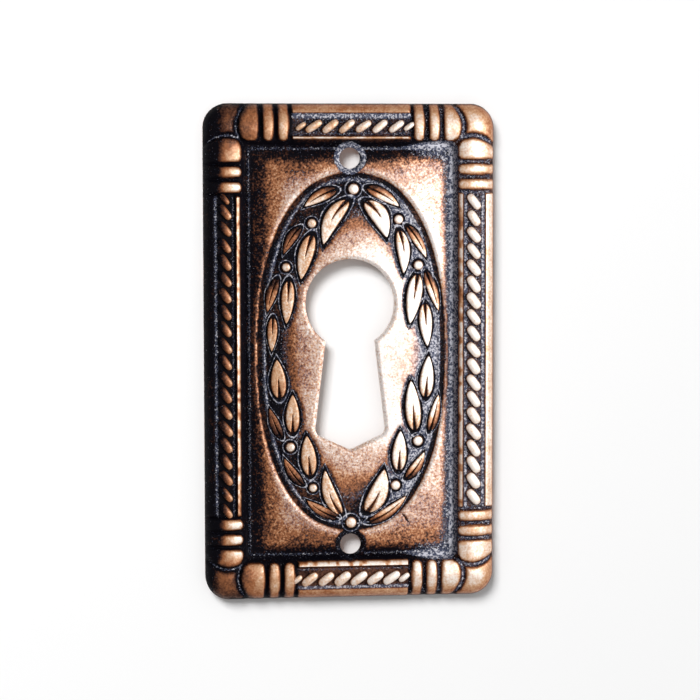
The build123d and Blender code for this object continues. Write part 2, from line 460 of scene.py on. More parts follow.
class Relief:
    """The plate's face: its height, how far its oxide is rubbed off with painted light and shade mixed in,
    and its painted glints, at any point.
    """

    def __init__(self, plate, hole):
        self.plate = plate
        self.keyhole = keyhole_points(hole)

    def frame_parts(self, x, y):
        """Inset, distance along the bar from the plate's corner, and drift of the ribs there."""
        p = self.plate
        u = rounded_inset(x, y, p.width / 2, p.height / 2, p.corner_radius)
        side = p.width / 2 - np.abs(x)
        end = p.height / 2 - np.abs(y)
        upright = side < end
        run = np.maximum(side, end)
        drift = np.zeros(x.shape)
        for (is_upright, is_right, is_top), shift in RIB_DRIFT.items():
            here = (upright == is_upright) & ((x > 0) == is_right) & ((y > 0) == is_top)
            drift[here] = shift
        return u, run, drift

    def roll(self, u):
        """The frame's roll, before anything is cut into it."""
        p = self.plate
        centre = p.crown - p.roll_radius
        level = centre + np.sqrt(np.maximum(p.roll_radius**2 - (u - p.crown_inset) ** 2, 0))
        edge = centre + math.sqrt(p.roll_radius**2 - p.crown_inset**2)
        return level - (edge - p.edge_height) * np.clip(1 - u / 0.55, 0, 1) ** 2

    def frame_level(self, x, y):
        """Inset, height, rubbing mixed with painted light and shade, and painted glints of the rolled frame.
        """
        p = self.plate
        u, run, drift = self.frame_parts(x, y)
        roll = self.roll(u)
        cut_share = 0.55 + 0.45 * ease(0.1, 0.9, u)

        # Corner pad and the three ribs beside it
        s = run - drift * ease(3.9, 5.6, run)
        pad_gap = run - corner_line(u)
        in_border = ease(*ROPE_START, s)
        cuts = ridge(pad_gap, 0.5)
        spread = 0.38 + 0.26 * ((u - 2.2) / 2) ** 2
        beside = ridge(pad_gap, 1.0)
        for centre in RIB_GROOVES:
            cuts = np.maximum(cuts, ridge(s - centre, spread))
            beside = np.maximum(beside, ridge(s - centre, 0.8))
        inner_end = ease(3.85 - 0.45 * beside, 4.3 - 0.25 * beside, u)
        corner = roll - p.groove_depth * cut_share * np.maximum(cuts, inner_end)
        corner = corner + 0.16 * ridge(pad_gap, 0.14) * ease(0.3, 0.8, u)
        flank = beside**1.5 * (1 - in_border)
        corner = corner - 0.08 * flank * cut_share
        # Painted glints on the ridge round the corner pad and in the rib grooves, more to the right
        glints = 0.55 * ridge(pad_gap, 0.2) * ease(0.2, 0.6, u) * ease(4.2, 3.8, u)
        glints = np.maximum(glints, 0.34 * cuts * ease(2, 13, x) * ease(0.2, 0.6, u))

        # Rope channel, inner bead and the groove inside it
        is_level = np.abs(x) < p.width / 2 - FRAME_WIDTH - 0.3
        at_right = ease(6.0, 13.0, x)
        at_top = 1.0 * (is_level & (y > 0))
        bead_from = BEAD_INSET + np.where(is_level, 0.15, 0.1 * at_right)
        bead_to = bead_from + BEAD_WIDTH + 0.12 * is_level - 0.24 * at_top
        channel = ease(*CHANNEL_EDGE, u) * ease(bead_from + 0.12, bead_from - 0.12, u)
        border = roll - np.maximum(roll - p.channel_floor, 0) * channel
        border = border - 0.35 * ease(bead_to - 0.08, bead_to + 0.12, u)

        level = corner * (1 - in_border) + border * in_border
        depth = roll - level
        # Painted glints along the beads and on the channel floor, more to the right where the light falls
        lit = 0.45 + 0.55 * ease(-14, 12, x)
        glints = np.where(in_border > 0.5, 0, glints * (0.4 + 0.6 * lit))
        outer_glints = ridge(u - 1.25 - 0.1 * at_top, 0.3 + 0.2 * at_top)
        outer_glints = outer_glints * (0.4 + 0.4 * at_right + 0.35 * is_level)
        inner_glints = ridge(u - bead_from + 0.3, 0.25) * (0.3 + 0.45 * at_right)
        floor_glints = channel * (0.22 * at_right + 0.2 * at_top)
        glints = np.maximum(glints, in_border * np.maximum(np.maximum(outer_glints, inner_glints), floor_glints))

        # The left side and the top left corner are darkened as painted shade and the outer edges are less
        # rubbed than the rest; the right side is lightened as painted light
        low_left = ease(-21.5, -23.5, y)
        shade_from = -13.4 + 0.9 * in_border - 0.9 * low_left
        painted_dim = 1 - 0.97 * ease(shade_from, shade_from - 1.2, x)
        painted_dim = painted_dim * (1 - 0.6 * ease(-8, -13, x) * ease(20, 24, y))
        # Painted light to the right, painted shade on the ribs' rounded flanks, and darker at the bottom
        # left
        wear_and_light = 0.76 + 0.12 * ease(-9, 9, x) + 0.06 * at_right * in_border
        wear_and_light = wear_and_light * (1 - 0.42 * flank) - 0.36 * low_left * ease(-9.5, -12.0, x)
        # Painted highlight on the inner ends of the left ribs
        wear_and_light = wear_and_light + 0.16 * ease(2.4, 3.4, u) * ease(-10.0, -12.0, x) * ease(24.0, 22.0, np.abs(y))
        # The inner bead is worn in broken patches, with painted shade on its left part, and darker at the
        # top
        bead = in_border * ease(bead_from - 0.3, bead_from, u)
        broken = 1 - 0.5 * np.clip(0.2 + 1.2 * speckle(x, y, 0.5, 17), 0, 1)
        wear_and_light = wear_and_light + ((1.06 - 0.14 * at_top - 0.18 * ease(-8, -11, x)) * broken - wear_and_light) * bead
        # Painted light on the right edge
        edge_wear_and_light = 0.66 + 0.28 * ease(12.0, 14.5, x) * ease(24.5, 22.0, np.abs(y))
        rub = ease(0.3, 0.06, depth) * (edge_wear_and_light + (1 - edge_wear_and_light) * ease(0.3, 1.7, u)) * painted_dim * wear_and_light
        # The channel floor is lighter to the right as painted light, and lighter on the level bars, most at
        # the bottom
        floor_wear_and_light = 0.15 * at_right + in_border * is_level * np.where(y < 0, 0.22, 0.12)
        rub = np.maximum(rub * ease(-0.1, 0.25, u), floor_wear_and_light)
        return u, level, np.clip(rub, 0, 1), glints

    def panel_level(self, x, y):
        """Height of the domed panel."""
        p = self.plate
        side = np.abs(x) / (p.width / 2 - 6)
        end = np.abs(y) / (p.height / 2 - 6)
        return p.panel_height - p.panel_fall * side**2.2 - 0.3 * end**4

    def bed_level(self, x):
        """Height of the oval bed under the wreath."""
        p = self.plate
        return p.bed_height - p.bed_fall * (x / p.wreath_width) ** 2

    def leaf_hollow(self, x, y):
        """1 in the dark hollow that is cut round each broad leaf, and 0 on the field away from it."""
        hollow = np.zeros_like(x)
        for base, tip, width, bow, _ in BROAD_LEAVES:
            run_x = tip[0] - base[0]
            run_y = tip[1] - base[1]
            reach = math.hypot(run_x, run_y)
            along = ((x - base[0]) * run_x + (y - base[1]) * run_y) / reach**2
            aside = ((y - base[1]) * run_x - (x - base[0]) * run_y) / reach
            inside = np.clip(along, 0.0, 1.0)
            aside = np.abs(aside - outward_side(base, tip) * bow * 4 * inside * (1 - inside))
            past = np.maximum(aside - width * leaf_half(inside), 0.0)
            gap = np.hypot(past, (along - inside) * reach)
            hollow = np.maximum(hollow, ease(0.75, 0.3, gap))
        return hollow

    def face(self, x, y):
        """Height, rubbing mixed with painted light and shade, bare metal with painted glints, and calmness
        of the face at each point.
        """
        p = self.plate
        u, level, rub, glints = self.frame_level(x, y)

        # Step and narrow ledge inside the frame, then the cove up to the panel
        half_w = p.width / 2 - FRAME_WIDTH
        half_h = p.height / 2 - FRAME_WIDTH
        cove_u = rounded_inset(x, y, half_w, half_h, COVE_CORNER)
        level = level + (p.cove_floor - level) * ease(-0.35, 0.05, cove_u)
        rub = rub * ease(-0.1, -0.4, cove_u)
        panel = self.panel_level(x, y)
        t = np.clip((cove_u - 0.05) / COVE_WIDTH, 0, 1)
        level = level + (panel - level) * (1 - (1 - t) ** 2) * (cove_u > 0.0)
        level = level + 0.1 * ridge(cove_u - LEDGE_INSET, 0.16)
        on_panel = cove_u > 0.1
        # Painted light and shade on the panel: darker to the left and lower down as painted shade, lighter
        # to the right as painted light, besides the oxide left near the frame
        far_left = ease(2.0, -6.0, x)
        far_right = ease(5.0, 9.5, x)
        from_side = half_w - np.abs(x)
        from_end = half_h - np.abs(y)
        side_start = 0.9 + far_left * (0.4 + 0.5 * ease(2.0, 16.0, y)) - 0.7 * far_right
        end_start = np.where(y > 0, 1.15, 0.75) - 0.2 * far_right
        panel_wear_and_light = ease(side_start, side_start + 1.1 + 0.4 * far_right, from_side)
        panel_wear_and_light = panel_wear_and_light * ease(end_start, end_start + 1.1, from_end)
        slow = ease(side_start, side_start + 4.0 - 2.5 * far_right, from_side)
        slow = slow * ease(end_start, end_start + 4.0, from_end)
        panel_wear_and_light = panel_wear_and_light * (0.5 + 0.5 * slow)
        panel_wear_and_light = panel_wear_and_light * (0.73 - 0.09 * far_left) * (1 - 0.1 * ease(-13.0, -19.0, y))
        # Painted light on the panel's right side, less at the lower right
        low_right = ease(0.0, 6.0, x) * ease(-6.0, -18.0, y)
        right_gain = 0.12 + 0.24 * ease(7.0, 3.0, np.abs(y)) - 0.2 * low_right
        panel_wear_and_light = panel_wear_and_light + right_gain * ease(3.0, 9.0, x) * ease(0.5, 1.9, cove_u)
        rub = np.where(on_panel, np.maximum(panel_wear_and_light, 0.03), rub)
        # Painted glints in the cove and on the panel near it, strongest to the right
        glint_strength = 0.27 + 0.95 * far_right + 0.15 * ease(20.0, 22.0, y) * ease(-6.0, 6.0, x)
        reach = 0.3 + 0.4 * far_right
        in_cove = cove_u > -0.3 - 0.15 * far_right
        glints = np.where(in_cove, glint_strength * ridge(cove_u - LEDGE_INSET + 0.3 * far_right, reach), glints)
        scattered = 0.36 * far_right * ease(2.8, 0.9, cove_u) * (cove_u > 0.7)
        glints = np.maximum(glints, scattered)

        # Oval bed: a sharp edge, a thin ridge inside it and the bed
        d = oval_inset(p, x, y)
        bed = self.bed_level(x)
        edge_round = 0.12 * ease(-0.4, 0.0, d) ** 2
        # The oval's rubbed edge, with painted shade to the left
        near_rim = rub + 0.15 * ease(-0.9, -0.1, d) * on_panel
        rim = (0.74 - 0.26 * far_left) * ease(-0.3, -0.08, d)
        rub = np.where(d < 0, np.maximum(near_rim, rim), rub)
        level = np.where(d < 0.15, level - edge_round * (d > -0.5), level)
        sink = ease(0.0, OVAL_STEP, d)
        level = level + (bed - 0.1 - level) * sink
        level = level + 0.18 * ridge(d - OVAL_RIDGE, 0.22)
        level = level + 0.1 * ease(1.0, 1.5, d)
        rub = rub + (0.05 - rub) * sink
        # Painted glints on the bed, more to the right, and along the thin ridge
        ground = 0.05 + 0.75 * ease(2.0, 8.0, x)
        glints = glints + (ground * ease(0.6, 0.9, d) + 0.5 * ridge(d - 0.8, 0.4) - glints) * sink

        # Raised field round the keyhole
        key = away_from(x, y, self.keyhole)
        right, left, top, bottom = FIELD_REACH
        across = x / np.where(x > 0, right, left)
        up = (y - FIELD_RISE) / np.where(y > 0, top, bottom)
        field = ease(1.22, 0.82, np.hypot(across, up))
        field = field * (1 - 0.85 * self.leaf_hollow(x, y))
        level = level + 0.12 * field * sink
        # Painted light on the field: lighter to the right and at the top, darker to the left; painted glints
        # on its right part and round the leaf hollows
        lit_side = field * ease(0.5, 4.5, x) * ease(15.0, 8.0, np.abs(y - 1.0))
        gain = 0.6 + 0.16 * ease(0, 5, x) - 0.05 * ease(0.0, -5.0, x)
        gain = gain + 0.14 * ease(5.0, 10.0, y) * ease(-3.0, 2.0, x)
        field_wear_and_light = gain * field + 0.20 * ease(2.2, 0.3, key) + 0.16 * lit_side
        rub = np.where(d > 0.9, np.maximum(rub, field_wear_and_light), rub)
        field_glints = 0.22 * ridge(field - 0.3, 0.3) + (0.36 * ease(3.5, 6.0, x) - glints) * field
        glints = np.where(d > 0.9, glints + field_glints, glints)
        level = level - 0.16 * ease(0.35, 0.0, key) ** 2

        # A nick in the panel beside the wreath's foot
        off_nick = from_segment(x, y, *NICK)
        level = level - 0.08 * ease(0.1, 0.0, off_nick)
        rub = rub * ease(0.02, 0.12, off_nick)

        # Countersinks of the pin holes
        from_pin = np.hypot(x, np.abs(y) - p.pin_rise)
        cone = p.sink_floor + (from_pin - p.pin_radius)
        level = np.where(from_pin < p.sink_radius, np.minimum(level, cone), level)
        ring = ease(p.sink_radius + 0.05, p.sink_radius - 0.1, from_pin)
        rub = rub * (1 - ring)
        # Painted glints on the rubbed panel near the cove
        glints = np.maximum(glints, 0.36 * ease(0.6, 1.6, cove_u) * ease(0.35, 0.6, rub))
        bare = glints + (np.where(y > 0, 0.55, 0.1) - glints) * ring

        # Sandy surface left by the die on everything that isn't polished
        grain = speckle(x, y, 0.34, 3) + 0.6 * speckle(x, y, 0.19, 5)
        sandy = 0.005 + 0.007 * ease(0.6, 1.2, cove_u) * ease(0.0, 0.4, key) * (1 - bare)
        level = level + sandy * grain * ease(0.0, 0.3, u)
        rub = rub + 0.10 * speckle(x, y, 2.6, 11) * (cove_u > 1.0)
        calm = ease(1.5, 0.6, cove_u)
        calm = calm + (0.8 * (1 - field) - calm) * sink
        calm = np.maximum(calm, 0.5 * lit_side * sink)
        return level, np.clip(rub, 0, 1), bare, np.maximum(calm, ring)

    def back(self, x, y):
        """Height of the hollow back: a flat rim, a soft copy of the face, a sheet's thickness below it."""
        p = self.plate
        u = rounded_inset(x, y, p.width / 2, p.height / 2, p.corner_radius)
        hollow = BACK_HOLLOW * ease(0.75, 1.7, u) * ease(4.9, 3.9, u)
        cove_u = rounded_inset(x, y, p.width / 2 - 4.5, p.height / 2 - 4.5, 0.9)
        panel = BACK_COVE + (self.panel_level(x, y) - p.sheet - BACK_COVE) * ease(0.5, 2.1, cove_u)
        level = np.where(u < FRAME_WIDTH, np.maximum(hollow, BACK_COVE * ease(0.75, 1.2, u)), panel)
        d = oval_inset(p, x, y)
        bed = self.bed_level(x) - p.sheet
        level = level + (bed - level) * ease(-0.2, 0.9, d)
        from_pin = np.hypot(x, np.abs(y) - p.pin_rise)
        level = level + (BACK_BOSS - level) * ease(2.4, 1.7, from_pin)
        level = level + 0.03 * speckle(x, y, 1.1, 21) * ease(0.8, 1.6, u)
        return level


# Insets from the oval that the mesh follows: the panel's edge, the groove and the ridge inside it
OVAL_LINES = (-0.3, 0.0, OVAL_STEP, 0.55, OVAL_RIDGE, 1.0)

# Lines that the mesh follows beside the groove round a corner pad: shifts, points, first inset and reach
CREASES = (-0.36, 0.0, 0.36)
CREASE_POINTS = 24
CREASE_START = 0.12
CREASE_REACH = 3.4

# Steps of the mesh in the frame, inside it and on the back, and its gap beside the lines
FINE_BAND = 6.6
FINE_STEP = 0.135
COARSE_STEP = 0.17
BACK_STEP = 0.4
LINE_GAP = 0.07


def grid_lines(half):
    """Positions across the plate, close together in the frame and wider apart inside it."""
    outer = np.arange(0, FINE_BAND, FINE_STEP)
    inner_half = half - FINE_BAND
    inner = np.linspace(-inner_half, inner_half, int(2 * inner_half / COARSE_STEP) + 1)
    return np.concatenate([outer - half, inner, half - outer[::-1]])


def crossings(across, up):
    """Every crossing of upright lines with level ones."""
    x, y = np.meshgrid(across, up)
    return x.ravel(), y.ravel()


def skin(loops, lines, extra, keep):
    """Triangles between the loops, along the lines and through the extra points, all on the face plane."""
    points = []
    edges = []
    for line, is_closed in [(loop, True) for loop in loops] + lines:
        start = len(points)
        points += line
        edges += [(start + k, start + k + 1) for k in range(len(line) - 1)]
        if is_closed:
            edges.append((start + len(line) - 1, start))
    loop_total = sum(len(loop) for loop in loops)
    points += extra
    made = delaunay_2d_cdt([Vector(p) for p in points], edges, [], 0, 1e-6)
    flat = np.array([(v[0], v[1]) for v in made[0]])
    faces = np.array(made[2])
    middle = flat[faces].mean(axis=1)
    a = flat[faces[:, 1]] - flat[faces[:, 0]]
    b = flat[faces[:, 2]] - flat[faces[:, 0]]
    area = a[:, 0] * b[:, 1] - a[:, 1] * b[:, 0]
    faces[area < 0] = faces[area < 0][:, ::-1]
    faces = faces[keep(middle[:, 0], middle[:, 1]) & (np.abs(area) > 1e-9)]
    place = {}
    for number, origins in enumerate(made[3]):
        for origin in origins:
            place[origin] = number
    return flat, faces, [place[k] for k in range(loop_total)]


def on_face(flat, level):
    """Places on the upright plate, in metres, for points of the face."""
    return np.column_stack([flat[:, 0], -level, flat[:, 1]]) / 1000


def plate_mesh(plate, hole):
    """The whole struck plate as one closed mesh, with its rubbing, painted light and shade, bareness and
    painted glints at every point.
    """
    relief = Relief(plate, hole)
    half_w = plate.width / 2
    half_h = plate.height / 2
    pin_rises = (plate.pin_rise, -plate.pin_rise)
    loops = [outline_points(plate), relief.keyhole]
    loops += [circle_points(0, rise, plate.pin_radius) for rise in pin_rises]

    # Lines that the mesh follows so that its edges stay crisp
    lines = [(oval_points(plate, inset), True) for inset in OVAL_LINES]
    for sx, sy in ((1, 1), (1, -1), (-1, 1), (-1, -1)):
        for shift in CREASES:
            upright = []
            level = []
            for k in range(CREASE_POINTS):
                u = CREASE_START + CREASE_REACH * k / (CREASE_POINTS - 1)
                s = float(corner_line(np.array(u))) + shift
                upright.append((sx * (half_w - u), sy * (half_h - s)))
                level.append((sx * (half_w - s), sy * (half_h - u)))
            lines += [(upright, False), (level, False)]
    lines += [(circle_points(0, rise, plate.sink_radius, 64), True) for rise in pin_rises]
    (x0, y0), (x1, y1) = NICK
    lines.append(([(x0 + (x1 - x0) * k / 12, y0 + (y1 - y0) * k / 12) for k in range(13)], False))

    def clear(x, y, from_edge, from_pin, from_key):
        """Which points are further than this from the edge, the pin holes and the keyhole."""
        inside = rounded_inset(x, y, half_w, half_h, plate.corner_radius) > from_edge
        inside &= np.hypot(x, np.abs(y) - plate.pin_rise) > plate.pin_radius + from_pin
        return inside & (away_from(x, y, relief.keyhole) > from_key)

    def kept(x, y):
        """Which triangles belong to the plate, by their middles."""
        return clear(x, y, -0.02, -0.004 * plate.pin_radius, 0)

    # Points between the lines
    x, y = crossings(grid_lines(half_w), grid_lines(half_h))
    u = rounded_inset(x, y, half_w, half_h, plate.corner_radius)
    d = oval_inset(plate, x, y)
    run = np.maximum(half_w - np.abs(x), half_h - np.abs(y))
    free = clear(x, y, LINE_GAP, 0.08, 0.08)
    free &= np.abs(np.hypot(x, np.abs(y) - plate.pin_rise) - plate.sink_radius) > LINE_GAP
    for inset in OVAL_LINES:
        free &= np.abs(d - inset) > LINE_GAP
    for shift in CREASES:
        free &= (np.abs(run - corner_line(u) - shift) > 0.06) | (u > 3.6) | (run > 6)
    extra = list(zip(x[free].tolist(), y[free].tolist()))
    front, front_faces, front_loop = skin(loops, lines, extra, kept)
    level, rub, bare, calm = relief.face(*front.T)

    # The back is plainer, so its points lie further apart
    x, y = crossings(np.arange(-half_w, half_w, BACK_STEP), np.arange(-half_h, half_h, BACK_STEP))
    free = clear(x, y, 0.2, 0.15, 0.15)
    extra = list(zip(x[free].tolist(), y[free].tolist()))
    rear, rear_faces, rear_loop = skin(loops, [], extra, kept)
    rear_level = relief.back(*rear.T)
    rear_rub = 0.34 + 0.16 * speckle(*rear.T, 3.0, 31)
    rear_rub = np.maximum(rear_rub, 0.95 * ease(0.12, 0.0, away_from(*rear.T, relief.keyhole)))

    # Front, back and the walls between them
    shift = len(front)
    faces = front_faces.tolist()
    faces += (rear_faces[:, ::-1] + shift).tolist()
    start = 0
    for number, loop in enumerate(loops):
        for k in range(len(loop)):
            a = start + k
            b = start + (k + 1) % len(loop)
            wall = [front_loop[a], rear_loop[a] + shift, rear_loop[b] + shift, front_loop[b]]
            if number > 0:
                wall.reverse()
            faces.append(wall)
        start += len(loop)
    mesh = bpy.data.meshes.new("escutcheon_plate_face")
    places = np.vstack([on_face(front, level), on_face(rear, rear_level)])
    mesh.from_pydata(places.tolist(), [], faces)
    store(mesh, "rub", np.concatenate([rub, np.clip(rear_rub, 0, 1)]))
    store(mesh, "bare", np.concatenate([bare, np.zeros(len(rear))]))
    store(mesh, "calm", np.concatenate([calm, np.full(len(rear), 0.9)]))
    mesh.validate()
    mesh.shade_smooth()
    mesh.set_sharp_from_angle(angle=math.radians(50))
    return mesh


def store(mesh, name, values):
    """Keeps a number for every point of a mesh."""
    attribute = mesh.attributes.new(name, "FLOAT", "POINT")
    attribute.data.foreach_set("value", np.asarray(values, np.float32))


# Finishes


class Tree:
    """A short way to add and link nodes."""

    def __init__(self, tree):
        self.tree = tree
        self.count = 0

    def add(self, kind, inputs=None, **settings):
        """A new node, with its properties set and its inputs fed."""
        node = self.tree.nodes.new(kind)
        node.location = (200 * (self.count % 8), -260 * (self.count // 8))
        self.count += 1
        for name, value in settings.items():
            setattr(node, name, value)
        for name, value in (inputs or {}).items():
            self.feed(node.inputs[name], value)
        return node

    def out(self, kind, inputs=None, output=0, **settings):
        """One output of a new node."""
        return self.add(kind, inputs, **settings).outputs[output]

    def feed(self, socket, value):
        """Links a socket to another, or sets its own value."""
        if isinstance(value, bpy.types.NodeSocket):
            self.tree.links.new(value, socket)
        else:
            socket.default_value = value

    def math(self, operation, first, second=0.0, third=0.0, clamp=False):
        """One sum."""
        given = {0: first, 1: second, 2: third}
        return self.out("ShaderNodeMath", given, operation=operation, use_clamp=clamp)

    def product(self, first, *others):
        """All the numbers multiplied."""
        for other in others:
            first = self.math("MULTIPLY", first, other)
        return first

    def span(self, value, *ranges):
        """A number taken from one range, low and high, to another, and kept inside it."""
        return self.out("ShaderNodeMapRange", dict(enumerate((value, *ranges))))

    def mix(self, factor, first, second):
        """A colour between two."""
        return self.out("ShaderNodeMix", {"Factor": factor, 6: first, 7: second}, 2, data_type="RGBA")

    def vector(self, **parts):
        """A vector from its parts."""
        return self.out("ShaderNodeCombineXYZ", parts)

    def place(self):
        """The parts of each point's place."""
        return self.add("ShaderNodeSeparateXYZ", {0: self.out("GeometryNodeInputPosition")}).outputs

    def named(self, name, data_type="FLOAT"):
        """What the points keep under a name."""
        return self.out("GeometryNodeInputNamedAttribute", {"Name": name}, "Attribute", data_type=data_type)

    def keep(self, geometry, name, value):
        """Geometry whose points keep a number under a name."""
        given = {"Geometry": geometry, "Name": name, "Value": value}
        return self.out("GeometryNodeStoreNamedAttribute", given, data_type="FLOAT", domain="POINT")

    def move(self, geometry, offset):
        """Geometry whose points are moved."""
        return self.out("GeometryNodeSetPosition", {"Geometry": geometry, "Offset": offset})

    def spin(self, turn):
        """A turn on the face."""
        return self.out("FunctionNodeAxisAngleToRotation", {"Axis": (0.0, 0.0, 1.0), "Angle": turn})

    def real(self, geometry):
        """Copies made into one mesh."""
        return self.out("GeometryNodeRealizeInstances", {"Geometry": geometry})


def new_material(name):
    """An empty material and its tree."""
    material = bpy.data.materials.new(name)
    material.use_nodes = True
    material.node_tree.nodes.clear()
    return material, Tree(material.node_tree)


def copper_material(finish):
    """Antique copper: dark oxide in the recesses, rubbed bright where the surface stands proud, with painted
    sheen, glints and highlights.
    """
    material = bpy.data.materials.get("antique_copper_finish")
    if material:
        return material
    material, t = new_material("antique_copper_finish")
    place = t.out("ShaderNodeTexCoord", output="Object")
    rub = t.out("ShaderNodeAttribute", output="Fac", attribute_name="rub")
    bare = t.out("ShaderNodeAttribute", output="Fac", attribute_name="bare")
    calm = t.out("ShaderNodeAttribute", output="Fac", attribute_name="calm")

    def noise(fineness, detail=2.0):
        """Random grain, as many times finer than the finish's own."""
        given = {"Vector": place, "Scale": fineness / finish.grain, "Detail": detail, "Roughness": 0.62}
        return t.out("ShaderNodeTexNoise", given, "Fac")

    def swing(fineness, strength, detail=2.0):
        """The same grain round 0, at a strength."""
        return t.product(t.math("SUBTRACT", noise(fineness, detail), 0.5), strength)

    wear = t.math("ADD", rub, swing(1.0, t.span(calm, 0.0, 1.0, 1.4, 0.55), detail=3.0))
    wear = t.math("ADD", wear, swing(0.4, t.span(calm, 0.0, 1.0, 0.5, 0.25)))
    wear = t.math("ADD", wear, swing(0.12, 0.36), clamp=True)

    ramp = t.add("ShaderNodeValToRGB", {"Fac": wear})
    stops = (
        (0.08, finish.oxide),
        (0.28, finish.umber),
        (0.52, finish.copper),
        (0.76, finish.rubbed),
        (1.0, finish.polished_and_highlight),
    )
    while len(ramp.color_ramp.elements) < len(stops):
        ramp.color_ramp.elements.new(0.5)
    for element, (position, rgb) in zip(ramp.color_ramp.elements, stops):
        element.position = position
        element.color = (*rgb, 1.0)

    # Painted glints in a painted blue-grey sheen on the oxide, and grey specks of painted sheen on rubbed
    # copper, thickly where the mesh says so; bare metal in the countersinks
    glint = t.math("ADD", noise(0.9), t.product(bare, 0.13))
    painted_dim = t.mix(t.span(wear, 0.4, 0.75, 0.0, 1.0), (*finish.painted_sheen, 1.0), (*finish.painted_haze, 1.0))
    bright = t.mix(t.span(glint, 0.56, 0.68, 0.0, 1.0), painted_dim, (*finish.bare, 1.0))
    speck = t.math("ADD", noise(1.6), t.product(bare, 0.7))
    in_oxide = t.math("MAXIMUM", t.span(wear, 0.12, 0.45, 1.0, 0.0), bare)
    specks = t.product(t.span(speck, 0.65, 0.76, 0.0, 1.0), in_oxide)

    bump = t.out("ShaderNodeBump", {"Strength": 0.35, "Distance": 0.00004, "Height": noise(1.2)}, "Normal")
    look = {
        "Base Color": t.mix(specks, ramp.outputs["Color"], bright),
        "Metallic": t.span(wear, 0.15, 0.55, 0.0, 0.35),
        "Roughness": t.span(wear, 0.1, 0.9, 0.55, 0.42),
        "Specular IOR Level": t.span(wear, 0.1, 0.5, 0.04, 0.5),
        "Normal": bump,
        "Coat Weight": t.span(wear, 0.15, 0.7, 0.0, 0.3),
        "Coat Roughness": 0.32,
        "Coat Normal": bump,
    }
    t.add("ShaderNodeOutputMaterial", {"Surface": t.out("ShaderNodeBsdfPrincipled", look)})
    return material


# Node trees of the repeated ornament


def new_tree(name, inputs):
    """A geometry tree with named inputs and one geometry output."""
    group = bpy.data.node_groups.new(name, "GeometryNodeTree")
    group.interface.new_socket("Geometry", in_out="INPUT", socket_type="NodeSocketGeometry")
    group.interface.new_socket("Geometry", in_out="OUTPUT", socket_type="NodeSocketGeometry")
    for label, kind in inputs.items():
        group.interface.new_socket(label, in_out="INPUT", socket_type=f"NodeSocket{kind}")
    return group


def settle(carrier, group, values, name):
    """Runs a tree on a carrier's mesh with the values given, and returns the result as a plain object."""
    modifier = carrier.modifiers.new(name, "NODES")
    modifier.node_group = group
    sockets = [item for item in group.interface.items_tree if item.in_out == "INPUT"]
    identifiers = {socket.name: socket.identifier for socket in sockets}
    for label, value in values.items():
        modifier[identifiers[label]] = value
    bpy.context.view_layer.update()
    evaluated = carrier.evaluated_get(bpy.context.evaluated_depsgraph_get())
    mesh = bpy.data.meshes.new_from_object(evaluated)
    mesh.name = name
    carrier.modifiers.remove(modifier)
    if not mesh.polygons:
        raise RuntimeError(f"{name} came out empty")
    bpy.data.objects.remove(carrier)
    return shown(mesh, name)


def shown(mesh, name):
    """An object for a finished mesh, at the origin."""
    made = bpy.data.objects.new(name, mesh)
    bpy.context.scene.collection.objects.link(made)
    return made


# How far a half lay is drawn in, in metres, its size, and how far lays differ in their lean
HALF_LAY_SHIFT = 0.0004
HALF_LAY_SIZE = 0.66
LAY_SWAY = 0.07


